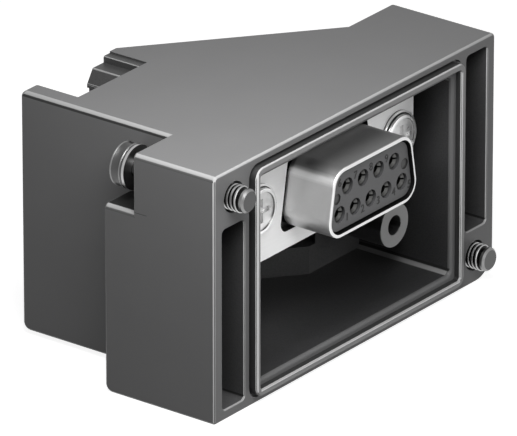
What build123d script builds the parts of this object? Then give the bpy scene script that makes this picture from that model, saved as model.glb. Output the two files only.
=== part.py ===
from build123d import *
from math import radians, tan
import os

os.makedirs("parts", exist_ok=True)

# The origin is the centre of the front face that meets the module.
# +X is to the right along that face, +Y goes back into the housing, +Z is up.

# Front block of the housing, 50 wide with these sizes
block_height = 28.5
block_depth = 13.7
foot_reach = 1.0
foot_width = 8.0
edge_radius = 0.3
side_edge_radius = 0.6
lower_corner_radius = 3.0
heel_radius = 0.9

# Notches behind the block that take the heads of the two captive screws
notch_width = 6.2
notch_height = 6.7
notch_floor = 10.8

# Rear body, with a slot at its left and a slanted face at its right
rear_depth = 30.8
rear_lift = 0.6
left_wall = 2.3
slot_front = 24.8
slot_width = 8.35
slot_top_width = 12.0
nose_depth = 29.9
slant_start = 22.0
slant_end = 41.7

# Stepped moulding along the right side of the slot
ridge_reach = 1.1
ridge_drop = 0.2
shelf_reach = 3.0
shelf_drop = 0.95
lip_reach = 4.0
lip_drop = 2.5
lip_height = 0.4
step_round = 0.15

# Hollow that is open at the front, and the wall beside it
hollow_side_gap = 1.75
hollow_side_margin = 7.85
hollow_top_margin = 2.65
hollow_bottom_margin = 2.5
hollow_corner = 0.7
hollow_rim_radius = 0.33
back_wall = 2.5
right_back_wall = 1.3
slant_wall = 6.5

# Two narrow pockets in the front face
pocket_width = 3.8
pocket_height = 20.8
pocket_side_margin = 1.4
pocket_end_margin = 1.2
pocket_depth = 9.0
pocket_corner = 0.5
pocket_rim_radius = 0.2

# Seal round the hollow
seal_width = 0.8
seal_margin = 0.7
seal_corner = 0.4
seal_proud = 0.75
groove_depth = 1.2
groove_step_width = 0.3
groove_step_depth = 0.5
seal_gap = 0.02

# Moulded boss in the hollow
boss_side = 12.5
boss_drop = 19.6
boss_radius = 2.5
boss_bore_radius = 1.15
boss_face = 4.2
boss_bore_depth = 5.0

# Socket plate and shells, in the standard size for nine contacts
socket_drop = 9.0
plate_face = 3.9
plate_thickness = 0.8
plate_cut_gap = 0.35
plate_cut_corner = 1.1
flange_width = 30.8
flange_height = 12.5
flange_corner = 1.0
shell_width = 16.33
shell_height = 7.9
shell_slant = 10.0
shell_corner = 2.1
shell_reach = 6.1
shell_wall = 0.4
shell_rim_radius = 0.15
rear_shell_margin = 0.95
rear_shell_depth = 3.8
rear_shell_lip = 0.5

# Insulator halves
insulator_gap = 0.3
insulator_recess = 0.35
insulator_seat_gap = 0.05
insulator_lip = 0.8
insulator_tail = 1.6

# Socket contacts
contact_pitch = 2.77
row_pitch = 2.84
contact_hole_radius = 0.95
contact_radius = 0.85
contact_bore_radius = 0.52
contact_recess = 0.3
contact_mouth = 0.27
contact_bore_depth = 6.0
contact_slit = 0.2
contact_slit_depth = 4.0
collar_radius = 1.12
collar_length = 1.0
tail_radius = 0.7
tail_length = 2.8
cup_radius = 0.5
cup_depth = 2.2
contact_gap = 0.03
mark_radius = 0.6
mark_side = 6.0
mark_rise = 0.5
mark_depth = 0.12

# Screws and washers that fix the socket, and the posts that carry it
flange_screw_spacing = 25.0
flange_screw_radius = 1.5
flange_screw_length = 8.0
flange_head_radius = 2.6
flange_head_height = 0.45
flange_head_edge = 0.15
flange_head_rim = 0.4
flange_head_dish = 0.15
flange_hole_gap = 0.1
washer_radius = 2.95
washer_thickness = 0.3
cross_width = 0.6
cross_length = 2.8
cross_depth = 0.5
post_width = 5.9
post_depth = 7.5
post_height = 9.5
thread_gap = 0.03
hole_end_gap = 0.6

# Captive screws at two opposite corners
screw_side_margin = 3.4
screw_end_margin = 3.25
screw_radius = 1.5
screw_hole_gap = 0.25
screw_tip_radius = 1.33
screw_tip_length = 0.65
screw_tip_chamfer = 0.22
screw_proud = 2.1
screw_thread_length = 5.1
screw_neck_radius = 1.05
screw_head_radius = 2.5
screw_head_height = 1.5
screw_head_round = 0.3
screw_travel = 2.0
screw_washer_thickness = 0.5
neck_gap = 0.05
ring_radius = 2.3
ring_thickness = 1.2
ring_stop_gap = 0.05
ring_seat_gap = 0.01

# Cover and gasket over the slanted opening
opening_width = 15.5
opening_height = 17.0
cover_width = 21.4
cover_height = 23.2
cover_thickness = 1.5
cover_corner = 1.0
cover_gap = 0.1
gasket_thickness = 0.5
cover_screw_side = 9.1
cover_screw_height = 10.0
cover_screw_radius = 0.9
cover_screw_length = 3.2
cover_head_radius = 1.5
cover_head_height = 0.7

# Cable gland on the cover
gland_flats = 14.0
gland_collar = 2.0
gland_thread_radius = 6.0
gland_length = 10.0
gland_bore_radius = 4.2
gland_seat_radius = 5.0
gland_seat_depth = 5.5
spigot_radius = 5.4
spigot_end_gap = 0.5
lock_nut_flats = 13.0
lock_nut_thickness = 2.0
cable_radius = 3.5
cable_seal_length = 5.1
clamp_ring_bore = 3.9
clamp_ring_length = 1.2
gland_fit_gap = 0.05
nut_start_gap = 1.0
nut_wall = 1.0
nut_end_wall = 1.8
nut_rib_count = 8
nut_rib_width = 2.2
nut_rib_height = 0.6
nut_chamfer = 0.4

# Corners and centres that several pieces share
top = block_height / 2
bottom = -top
foot_depth = block_depth + foot_reach
hollow_right = flange_width / 2 + hollow_side_gap
hollow_left = -hollow_right
right = hollow_right + hollow_side_margin
left = -right
hollow_top = top - hollow_top_margin
hollow_bottom = bottom + hollow_bottom_margin
hollow_width = hollow_right - hollow_left
hollow_height = hollow_top - hollow_bottom
hollow_middle = (hollow_top + hollow_bottom) / 2
hollow_back = slot_front - back_wall
hollow_right_back = block_depth - right_back_wall

# The slanted face runs from the nose to the back of the block
slant_left = left + slant_start
slant_right = left + slant_end
slant_run = slant_right - slant_left
slant_rise = nose_depth - block_depth
slant_length = (slant_run**2 + slant_rise**2) ** 0.5
slant_middle = Vector((slant_left + slant_right) / 2, (nose_depth + block_depth) / 2, 0)
slant_outward = Vector(slant_rise / slant_length, slant_run / slant_length, 0)
slant_along = Vector(slant_run / slant_length, -slant_rise / slant_length, 0)

# Depths of the stacked socket pieces
socket_height = top - socket_drop
shell_face = plate_face - shell_reach
front_flange = plate_face + plate_thickness
rear_flange = front_flange + shell_wall
post_face = rear_flange + shell_wall
insulator_face = shell_face + insulator_recess
insulator_split = rear_flange + insulator_lip
rear_shell_end = rear_flange + rear_shell_depth
insulator_end = rear_shell_end + insulator_tail
contact_start = insulator_face + contact_recess
contact_end = insulator_end + tail_length
flange_screw_hole = flange_screw_radius + flange_hole_gap
flange_head_base = plate_face - washer_thickness
ring_start = screw_thread_length + ring_stop_gap


def depth_plane(depth):
    """Plane parallel to the front face at a depth behind it, facing forwards."""
    return Plane.XZ.offset(-depth)


def slant_plane(distance):
    """Plane parallel to the slanted face at a distance outside it, facing outwards."""
    return Plane(slant_middle + slant_outward * distance, x_dir=slant_along, z_dir=slant_outward)


def disc(plane, radius, *places):
    """Circles at the given places of a plane."""
    with BuildSketch(plane) as circles:
        with Locations(*(places or [(0, 0)])):
            Circle(radius)
    return circles.sketch


def d_shape(plane, width, height, corner):
    """D outline of a socket, wide side down, centred on the socket."""
    shift = height / 2 * tan(radians(shell_slant))
    wide = width / 2
    narrow = wide - 2 * shift
    with BuildSketch(plane) as outline:
        with BuildLine():
            Polyline(
                (-narrow, socket_height + height / 2),
                (narrow, socket_height + height / 2),
                (wide, socket_height - height / 2),
                (-wide, socket_height - height / 2),
                close=True,
            )
        make_face()
        fillet(outline.vertices(), corner)
    return outline.sketch


def rounded(plane, width, height, corner, x=0, z=0):
    """Rounded rectangle at a place of a plane."""
    with BuildSketch(plane) as outline:
        with Locations((x, z)):
            RectangleRounded(width, height, corner)
    return outline.sketch


def cross(plane, place):
    """Cross recess of a screw head."""
    with BuildSketch(plane) as recess:
        with Locations(place):
            Rectangle(cross_length, cross_width)
            Rectangle(cross_width, cross_length)
    return recess.sketch


def save(part, name):
    """Name the finished piece and write it."""
    part.label = name
    export_step(part, f"parts/{name}.step")


def rear_plan(height, gap_width):
    """Plan of the rear body at a height, for a slot of the given width."""
    wall = left + notch_width
    slot_left = wall + left_wall
    with BuildSketch(Plane.XY.offset(height)) as outline:
        with BuildLine():
            Polyline(
                (wall, notch_floor),
                (wall, rear_depth),
                (slot_left, rear_depth),
                (slot_left, slot_front),
                (slot_left + gap_width, slot_front),
                (slot_left + gap_width, nose_depth),
                (slant_left, nose_depth),
                (slant_right, block_depth),
                (slant_right, notch_floor),
                close=True,
            )
        make_face()
    return outline.sketch


# Places of the screws on the front face and on the cover
captive_places = [
    (left + screw_side_margin, top - screw_end_margin),
    (right - screw_side_margin, bottom + screw_end_margin),
]
flange_places = [(side * flange_screw_spacing / 2, socket_height) for side in (-1, 1)]
cover_places = [(u * cover_screw_side, v * cover_screw_height) for u in (-1, 1) for v in (-1, 1)]
lower_row = [((i - 2) * contact_pitch, socket_height - row_pitch / 2) for i in range(5)]
upper_row = [((i - 1.5) * contact_pitch, socket_height + row_pitch / 2) for i in range(4)]
contact_places = lower_row + upper_row
mark_places = [(side * mark_side, socket_height + mark_rise) for side in (-1, 1)]

# Room inside the housing, open at the front
slant_inner = slant_middle - slant_outward * slant_wall
slant_slope = slant_rise / slant_run
with BuildPart() as hollow:
    with BuildSketch(Plane.XY.offset(hollow_bottom)):
        with BuildLine():
            Polyline(
                (hollow_left, 0),
                (hollow_left, hollow_back),
                (slant_inner.X - (hollow_back - slant_inner.Y) / slant_slope, hollow_back),
                (slant_inner.X + (slant_inner.Y - hollow_right_back) / slant_slope, hollow_right_back),
                (hollow_right, hollow_right_back),
                (hollow_right, 0),
                close=True,
            )
        make_face()
    extrude(amount=hollow_height)
    extrude(
        rounded(depth_plane(0), hollow_width, hollow_height, hollow_corner, 0, hollow_middle),
        amount=-hollow_back,
        mode=Mode.INTERSECT,
    )

# Housing, moulded in one piece
step_height = lip_drop + lip_height
rear_bottom = bottom + rear_lift
slot_inner_side = left + notch_width + left_wall
slot_right = slot_inner_side + slot_top_width
with BuildPart() as housing:
    Box(right - left, block_depth, block_height, align=(Align.CENTER, Align.MIN, Align.CENTER))
    with Locations((left, 0, bottom)):
        Box(foot_width, foot_depth, block_height - notch_height, align=Align.MIN)
    extrude(rear_plan(rear_bottom, slot_width), amount=top - step_height - rear_bottom)
    extrude(rear_plan(top - step_height, slot_top_width), amount=step_height)
    # Stepped moulding beside the slot
    with BuildSketch(depth_plane(slot_front)):
        with BuildLine():
            Polyline(
                (slot_right, top - step_height),
                (slot_right, top - ridge_drop),
                (slot_right - ridge_reach, top - ridge_drop),
                (slot_right - ridge_reach, top - shelf_drop),
                (slot_right - shelf_reach, top - shelf_drop),
                (slot_right - lip_reach, top - lip_drop),
                (slot_right - lip_reach, top - step_height),
                close=True,
            )
        make_face()
        steps = [(ridge_reach, ridge_drop), (shelf_reach, shelf_drop), (lip_reach, lip_drop)]
        for reach, drop in steps:
            corners = vertices().sort_by_distance((slot_right - reach, top - drop, 0))
            fillet(corners[0], step_round)
    extrude(amount=slot_front - nose_depth)
    # Room behind the block for the heads of the captive screws
    with Locations((left, notch_floor, top)):
        Box(
            notch_width,
            rear_depth,
            notch_height,
            align=(Align.MIN, Align.MIN, Align.MAX),
            mode=Mode.SUBTRACT,
        )
    with Locations((right, notch_floor, bottom)):
        Box(
            notch_width,
            rear_depth,
            notch_height,
            align=(Align.MAX, Align.MIN, Align.MIN),
            mode=Mode.SUBTRACT,
        )
    # Rounded outer edges
    lower_corner = housing.edges().filter_by(Axis.Y).sort_by_distance((right, 0, bottom))[0]
    fillet(lower_corner, lower_corner_radius)
    heels = [(left, foot_depth, bottom), (left + notch_width, rear_depth, rear_bottom)]
    across = housing.edges().filter_by(Axis.X)
    fillet([across.sort_by_distance(heel)[0] for heel in heels], heel_radius)
    wall_foot = (left + notch_width, slot_front, rear_bottom)
    fillet(housing.edges().filter_by(Axis.Y).sort_by_distance(wall_foot)[0], edge_radius)
    shelf = housing.edges().filter_by(Axis.Y).sort_by_distance((left, foot_depth, top - notch_height))[0]
    sides = housing.faces().sort_by(Axis.Z)[-1].edges().filter_by(Axis.Y)
    slot_side = sides.filter_by_position(Axis.X, slot_inner_side - left_wall / 2, slot_right + left_wall / 2)
    fillet((sides - slot_side) + [shelf], side_edge_radius)
    sole = housing.edges().filter_by(Axis.Y).sort_by_distance((left, 0, bottom))[0]
    roof = housing.faces().sort_by(Axis.Z)[-1].edges().filter_by(Axis.Y, reverse=True)
    slot_edges = roof.filter_by(lambda edge: edge.center().Y > slot_front - lip_height)
    slot_edges = slot_edges.filter_by(lambda edge: edge.center().X > slot_inner_side - left_wall / 2)
    front = housing.faces().sort_by(Axis.Y)[0].edges()
    fillet((roof - slot_edges) + front + [sole], edge_radius)
    # Two pockets in the front face
    pocket_side = right - pocket_side_margin - pocket_width / 2
    pocket_shift = top - pocket_end_margin - pocket_height / 2
    for side in (-1, 1):
        extrude(
            rounded(
                depth_plane(0),
                pocket_width,
                pocket_height,
                pocket_corner,
                side * pocket_side,
                side * pocket_shift,
            ),
            amount=-pocket_depth,
            mode=Mode.SUBTRACT,
        )
    for rim in housing.faces().sort_by(Axis.Y)[0].inner_wires():
        fillet(rim.edges(), pocket_rim_radius)
    # Hollow, open at the front
    add(hollow.part, mode=Mode.SUBTRACT)
    rim = housing.faces().sort_by(Axis.Y)[0].inner_wires().sort_by(SortBy.LENGTH)[-1]
    fillet(rim.edges(), hollow_rim_radius)
    # Posts behind the socket flange, and the boss below it
    for x, _ in flange_places:
        with Locations((x, post_face, hollow_top)):
            Box(post_width, post_depth, post_height, align=(Align.CENTER, Align.MIN, Align.MAX))
    extrude(
        disc(depth_plane(post_face), flange_screw_radius, *flange_places),
        amount=post_face - flange_head_base - flange_screw_length - hole_end_gap,
        mode=Mode.SUBTRACT,
    )
    extrude(
        disc(depth_plane(boss_face), boss_radius, (boss_side, top - boss_drop)),
        amount=boss_face - hollow_right_back,
    )
    extrude(
        disc(depth_plane(boss_face), boss_bore_radius, (boss_side, top - boss_drop)),
        amount=-boss_bore_depth,
        mode=Mode.SUBTRACT,
    )
    # Slanted opening, the recess of its cover and the holes of the cover screws
    with BuildSketch(slant_plane(0)):
        Rectangle(opening_width, opening_height)
    extrude(amount=-slant_wall - back_wall, mode=Mode.SUBTRACT)
    recess = cover_thickness + gasket_thickness
    extrude(
        rounded(slant_plane(0), cover_width + 2 * cover_gap, cover_height + 2 * cover_gap, cover_corner),
        amount=-recess,
        mode=Mode.SUBTRACT,
    )
    extrude(
        disc(slant_plane(-recess), cover_screw_radius + thread_gap, *cover_places),
        amount=cover_thickness - cover_screw_length,
        mode=Mode.SUBTRACT,
    )
    # Groove for the seal
    groove_inner = (hollow_width + 2 * seal_margin, hollow_height + 2 * seal_margin)
    groove_width = seal_width + 2 * seal_gap
    with BuildSketch(depth_plane(0)):
        with Locations((0, hollow_middle)):
            RectangleRounded(
                groove_inner[0] + 2 * groove_width,
                groove_inner[1] + 2 * groove_width,
                seal_corner + groove_width,
            )
            RectangleRounded(*groove_inner, seal_corner, mode=Mode.SUBTRACT)
    extrude(amount=-groove_depth, mode=Mode.SUBTRACT)
    # Shallow step round the outside of the groove
    step_span = 2 * (groove_width + groove_step_width)
    with BuildSketch(depth_plane(0)):
        with Locations((0, hollow_middle)):
            RectangleRounded(
                groove_inner[0] + step_span,
                groove_inner[1] + step_span,
                seal_corner + groove_width + groove_step_width,
            )
            RectangleRounded(*groove_inner, seal_corner, mode=Mode.SUBTRACT)
    extrude(amount=-groove_step_depth, mode=Mode.SUBTRACT)
    # Stepped holes for the captive screws and their retaining rings
    extrude(
        disc(depth_plane(0), screw_radius + screw_hole_gap, *captive_places),
        amount=-notch_floor,
        mode=Mode.SUBTRACT,
    )
    extrude(
        disc(depth_plane(ring_start), ring_radius + ring_seat_gap, *captive_places),
        amount=ring_start - notch_floor,
        mode=Mode.SUBTRACT,
    )
save(housing.part, "housing")

# Seal, a moulded rubber frame pressed into the groove
with BuildPart() as face_seal:
    seal_inner = (groove_inner[0] + 2 * seal_gap, groove_inner[1] + 2 * seal_gap)
    with BuildSketch(depth_plane(-seal_proud)):
        with Locations((0, hollow_middle)):
            RectangleRounded(
                seal_inner[0] + 2 * seal_width,
                seal_inner[1] + 2 * seal_width,
                seal_corner + seal_gap + seal_width,
            )
            RectangleRounded(*seal_inner, seal_corner + seal_gap, mode=Mode.SUBTRACT)
    extrude(amount=-seal_proud - groove_depth)
    rim = face_seal.faces().sort_by(Axis.Y)[0]
    fillet(rim.edges(), seal_width / 4)
save(face_seal.part, "face_seal")

# Bright plate in front of the socket flange, with a cut-out for the shell
with BuildPart() as mounting_plate:
    extrude(
        rounded(depth_plane(plate_face), flange_width, flange_height, flange_corner, 0, socket_height),
        amount=-plate_thickness,
    )
    plate_cut = (shell_width + 2 * plate_cut_gap, shell_height + 2 * plate_cut_gap)
    extrude(
        d_shape(depth_plane(plate_face), *plate_cut, plate_cut_corner),
        amount=-plate_thickness,
        mode=Mode.SUBTRACT,
    )
    extrude(
        disc(depth_plane(plate_face), flange_screw_hole, *flange_places),
        amount=-plate_thickness,
        mode=Mode.SUBTRACT,
    )
save(mounting_plate.part, "mounting_plate")

# Front shell, drawn from sheet steel with its flange
shell_inner = (shell_width - 2 * shell_wall, shell_height - 2 * shell_wall)
with BuildPart() as front_shell:
    extrude(
        d_shape(depth_plane(shell_face), shell_width, shell_height, shell_corner),
        amount=shell_face - rear_flange,
    )
    rim = front_shell.faces().sort_by(Axis.Y)[0]
    fillet(rim.edges(), shell_rim_radius)
    extrude(
        rounded(depth_plane(front_flange), flange_width, flange_height, flange_corner, 0, socket_height),
        amount=-shell_wall,
    )
    extrude(
        d_shape(depth_plane(shell_face), *shell_inner, shell_corner - shell_wall),
        amount=shell_face - rear_flange,
        mode=Mode.SUBTRACT,
    )
    extrude(
        disc(depth_plane(front_flange), flange_screw_hole, *flange_places),
        amount=-shell_wall,
        mode=Mode.SUBTRACT,
    )
save(front_shell.part, "front_shell")

# Rear shell, which clamps the insulator against the front shell
rear_outer = (shell_width + 2 * rear_shell_margin, shell_height + 2 * rear_shell_margin)
rear_inner = tuple(size - 2 * shell_wall for size in rear_outer)
rear_throat = tuple(size - 2 * rear_shell_lip for size in rear_inner)
with BuildPart() as rear_shell:
    extrude(
        rounded(depth_plane(rear_flange), flange_width, flange_height, flange_corner, 0, socket_height),
        amount=-shell_wall,
    )
    extrude(d_shape(depth_plane(rear_flange), *rear_outer, shell_corner), amount=-rear_shell_depth)
    extrude(
        d_shape(depth_plane(rear_flange), *rear_inner, shell_corner - shell_wall),
        amount=shell_wall - rear_shell_depth,
        mode=Mode.SUBTRACT,
    )
    extrude(
        d_shape(depth_plane(rear_flange), *rear_throat, shell_corner - shell_wall - rear_shell_lip),
        amount=-rear_shell_depth,
        mode=Mode.SUBTRACT,
    )
    extrude(
        disc(depth_plane(rear_flange), flange_screw_hole, *flange_places),
        amount=-shell_wall,
        mode=Mode.SUBTRACT,
    )
save(rear_shell.part, "rear_shell")

# Front half of the insulator, with a hole over each contact
seat = tuple(size - 2 * insulator_seat_gap for size in rear_inner)
seat_corner = shell_corner - shell_wall - insulator_seat_gap
nose = tuple(size - 2 * insulator_gap for size in shell_inner)
with BuildPart() as insulator_front:
    extrude(
        d_shape(depth_plane(insulator_face), *nose, shell_corner - shell_wall - insulator_gap),
        amount=insulator_face - rear_flange,
    )
    extrude(d_shape(depth_plane(rear_flange), *seat, seat_corner), amount=-insulator_lip)
    extrude(
        disc(depth_plane(insulator_face), contact_hole_radius, *contact_places),
        amount=insulator_face - insulator_split,
        mode=Mode.SUBTRACT,
    )
    extrude(
        disc(depth_plane(insulator_face), mark_radius, *mark_places),
        amount=-mark_depth,
        mode=Mode.SUBTRACT,
    )
save(insulator_front.part, "insulator_front")

# Rear half of the insulator, which traps the collars of the contacts
with BuildPart() as insulator_rear:
    extrude(
        d_shape(depth_plane(insulator_split), *seat, seat_corner),
        amount=insulator_split + shell_wall - rear_shell_end,
    )
    throat = tuple(size - 2 * insulator_seat_gap for size in rear_throat)
    extrude(
        d_shape(depth_plane(insulator_split), *throat, seat_corner - rear_shell_lip),
        amount=insulator_split - insulator_end,
    )
    extrude(
        disc(depth_plane(insulator_split), tail_radius + contact_gap, *contact_places),
        amount=insulator_split - insulator_end,
        mode=Mode.SUBTRACT,
    )
    extrude(
        disc(depth_plane(insulator_split), collar_radius + contact_gap, *contact_places),
        amount=-collar_length,
        mode=Mode.SUBTRACT,
    )
save(insulator_rear.part, "insulator_rear")

# Turned contacts, split at the front, with a solder cup at the rear
for number, (x, z) in enumerate(contact_places, start=1):
    outward = 1 if z > socket_height else -1
    with BuildPart() as contact:
        sleeve = disc(depth_plane(contact_start), contact_radius, (x, z))
        extrude(sleeve, amount=contact_start - insulator_split)
        extrude(disc(depth_plane(insulator_split), collar_radius, (x, z)), amount=-collar_length)
        extrude(disc(depth_plane(insulator_split), tail_radius, (x, z)), amount=insulator_split - contact_end)
        extrude(
            disc(depth_plane(contact_start), contact_bore_radius, (x, z)),
            amount=-contact_bore_depth,
            mode=Mode.SUBTRACT,
        )
        mouth = contact.faces().sort_by(Axis.Y)[0].inner_wires()[0]
        chamfer(mouth.edges(), contact_mouth)
        with Locations((x, contact_start, z)):
            Box(
                2 * contact_radius,
                contact_slit_depth,
                contact_slit,
                align=(Align.CENTER, Align.MIN, Align.CENTER),
                mode=Mode.SUBTRACT,
            )
        extrude(
            disc(depth_plane(contact_end), cup_radius, (x, z)),
            amount=cup_depth,
            mode=Mode.SUBTRACT,
        )
        with Locations((x, contact_end, z + outward * tail_radius)):
            Box(
                2 * tail_radius,
                cup_depth,
                2 * tail_radius,
                align=(Align.CENTER, Align.MAX, Align.CENTER),
                mode=Mode.SUBTRACT,
            )
    save(contact.part, f"contact_{number}")

# Screws and washers that fix the socket to its posts
for side, place in zip(("left", "right"), flange_places):
    with BuildPart() as flange_screw:
        head_face = flange_head_base - flange_head_height
        extrude(disc(depth_plane(head_face), flange_head_radius, place), amount=-flange_head_height)
        fillet(flange_screw.faces().sort_by(Axis.Y)[0].edges(), flange_head_edge)
        extrude(
            disc(depth_plane(head_face), flange_head_radius - flange_head_rim, place),
            amount=-flange_head_dish,
            mode=Mode.SUBTRACT,
        )
        extrude(cross(depth_plane(head_face), place), amount=-cross_depth, mode=Mode.SUBTRACT)
        extrude(
            disc(depth_plane(flange_head_base), flange_screw_radius - thread_gap, place),
            amount=-flange_screw_length,
        )
    save(flange_screw.part, f"flange_screw_{side}")
    with BuildPart() as flange_washer:
        extrude(disc(depth_plane(flange_head_base), washer_radius, place), amount=-washer_thickness)
        extrude(
            disc(depth_plane(flange_head_base), flange_screw_hole, place),
            amount=-washer_thickness,
            mode=Mode.SUBTRACT,
        )
    save(flange_washer.part, f"flange_washer_{side}")

# Captive screws with a washer under the head and a retaining ring on the neck
for corner, place in zip(("upper", "lower"), captive_places):
    washer_face = notch_floor + screw_travel
    head_base = washer_face + screw_washer_thickness
    head_end = head_base + screw_head_height
    thread_end = screw_thread_length - screw_proud
    with BuildPart() as captive_screw:
        extrude(disc(depth_plane(-screw_proud), screw_tip_radius, place), amount=-screw_thread_length)
        extrude(
            disc(depth_plane(screw_tip_length - screw_proud), screw_radius, place),
            amount=screw_tip_length - screw_thread_length,
        )
        extrude(disc(depth_plane(thread_end), screw_neck_radius, place), amount=thread_end - head_base)
        extrude(disc(depth_plane(head_base), screw_head_radius, place), amount=-screw_head_height)
        fillet(captive_screw.faces().sort_by(Axis.Y)[-1].edges(), screw_head_round)
        chamfer(captive_screw.faces().sort_by(Axis.Y)[0].edges(), screw_tip_chamfer)
        extrude(cross(depth_plane(head_end), place), amount=cross_depth, mode=Mode.SUBTRACT)
    save(captive_screw.part, f"captive_screw_{corner}")
    with BuildPart() as screw_washer:
        extrude(disc(depth_plane(washer_face), screw_head_radius, place), amount=-screw_washer_thickness)
        extrude(
            disc(depth_plane(washer_face), screw_neck_radius + neck_gap, place),
            amount=-screw_washer_thickness,
            mode=Mode.SUBTRACT,
        )
    save(screw_washer.part, f"screw_washer_{corner}")
    with BuildPart() as retaining_ring:
        extrude(disc(depth_plane(ring_start), ring_radius, place), amount=-ring_thickness)
        extrude(
            disc(depth_plane(ring_start), screw_neck_radius + neck_gap, place),
            amount=-ring_thickness,
            mode=Mode.SUBTRACT,
        )
    save(retaining_ring.part, f"retaining_ring_{corner}")

# Gasket under the cover
with BuildPart() as cover_gasket:
    extrude(rounded(slant_plane(-recess), cover_width, cover_height, cover_corner), amount=gasket_thickness)
    with BuildSketch(slant_plane(-recess)):
        Rectangle(opening_width, opening_height)
    extrude(amount=gasket_thickness, mode=Mode.SUBTRACT)
    extrude(
        disc(slant_plane(-recess), cover_screw_radius + flange_hole_gap, *cover_places),
        amount=gasket_thickness,
        mode=Mode.SUBTRACT,
    )
save(cover_gasket.part, "cover_gasket")

# Cover that closes the slanted opening and carries the gland
with BuildPart() as rear_cover:
    extrude(
        rounded(slant_plane(-cover_thickness), cover_width, cover_height, cover_corner),
        amount=cover_thickness,
    )
    extrude(
        disc(slant_plane(-cover_thickness), cover_screw_radius + flange_hole_gap, *cover_places),
        amount=cover_thickness,
        mode=Mode.SUBTRACT,
    )
    extrude(
        disc(slant_plane(-cover_thickness), spigot_radius + gland_fit_gap),
        amount=cover_thickness,
        mode=Mode.SUBTRACT,
    )
save(rear_cover.part, "rear_cover")

# Four screws of the cover
with BuildPart() as cover_screws:
    extrude(disc(slant_plane(0), cover_head_radius, *cover_places), amount=cover_head_height)
    extrude(disc(slant_plane(0), cover_screw_radius, *cover_places), amount=-cover_screw_length)
    with BuildSketch(slant_plane(cover_head_height)):
        with Locations(*cover_places):
            Rectangle(cover_head_radius, cross_width / 2)
            Rectangle(cross_width / 2, cover_head_radius)
    extrude(amount=-cover_head_height / 2, mode=Mode.SUBTRACT)
save(cover_screws.part, "cover_screws")

# Gland body with a hexagonal collar, its spigot through the cover
with BuildPart() as gland_body:
    with BuildSketch(slant_plane(0)):
        RegularPolygon(gland_flats / 2, 6, major_radius=False)
    extrude(amount=gland_collar)
    extrude(disc(slant_plane(0), gland_thread_radius), amount=gland_length)
    spigot_length = cover_thickness + lock_nut_thickness + spigot_end_gap
    extrude(disc(slant_plane(0), spigot_radius), amount=-spigot_length)
    extrude(
        disc(slant_plane(-spigot_length), gland_bore_radius),
        amount=spigot_length + gland_length,
        mode=Mode.SUBTRACT,
    )
    extrude(
        disc(slant_plane(gland_length), gland_seat_radius),
        amount=-gland_seat_depth,
        mode=Mode.SUBTRACT,
    )
save(gland_body.part, "gland_body")

# Lock nut inside the cover
with BuildPart() as gland_lock_nut:
    with BuildSketch(slant_plane(-cover_thickness)):
        RegularPolygon(lock_nut_flats / 2, 6, major_radius=False)
        Circle(spigot_radius + thread_gap, mode=Mode.SUBTRACT)
    extrude(amount=-lock_nut_thickness)
save(gland_lock_nut.part, "gland_lock_nut")

# Rubber seal that grips the cable
seal_start = gland_length - gland_seat_depth
with BuildPart() as cable_seal:
    with BuildSketch(slant_plane(seal_start)):
        Circle(gland_seat_radius - gland_fit_gap)
        Circle(cable_radius, mode=Mode.SUBTRACT)
    extrude(amount=cable_seal_length)
save(cable_seal.part, "cable_seal")

# Clamp ring that the gland nut pushes onto the seal
ring_base = seal_start + cable_seal_length
with BuildPart() as clamp_ring:
    with BuildSketch(slant_plane(ring_base)):
        Circle(gland_seat_radius - gland_fit_gap)
        Circle(clamp_ring_bore, mode=Mode.SUBTRACT)
    extrude(amount=clamp_ring_length)
save(clamp_ring.part, "clamp_ring")

# Gland nut with grip ribs
nut_start = gland_collar + nut_start_gap
nut_inner = gland_thread_radius + gland_fit_gap
nut_end = ring_base + clamp_ring_length
with BuildPart() as gland_nut:
    extrude(disc(slant_plane(nut_start), nut_inner + nut_wall), amount=nut_end + nut_end_wall - nut_start)
    with BuildSketch(slant_plane(nut_start)):
        with PolarLocations(nut_inner + nut_wall / 2, nut_rib_count):
            Rectangle(nut_wall + 2 * nut_rib_height, nut_rib_width)
    extrude(amount=nut_end + nut_end_wall - nut_start)
    flat_faces = gland_nut.faces().filter_by(GeomType.PLANE)
    nut_face = flat_faces.sort_by(lambda face: face.center().dot(slant_outward))[-1]
    chamfer(nut_face.edges(), nut_chamfer)
    extrude(disc(slant_plane(nut_start), nut_inner), amount=nut_end - nut_start, mode=Mode.SUBTRACT)
    extrude(disc(slant_plane(nut_end), gland_bore_radius), amount=nut_end_wall, mode=Mode.SUBTRACT)
save(gland_nut.part, "gland_nut")
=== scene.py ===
import math

import bmesh
import bpy
from mathutils import Matrix, Vector


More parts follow.
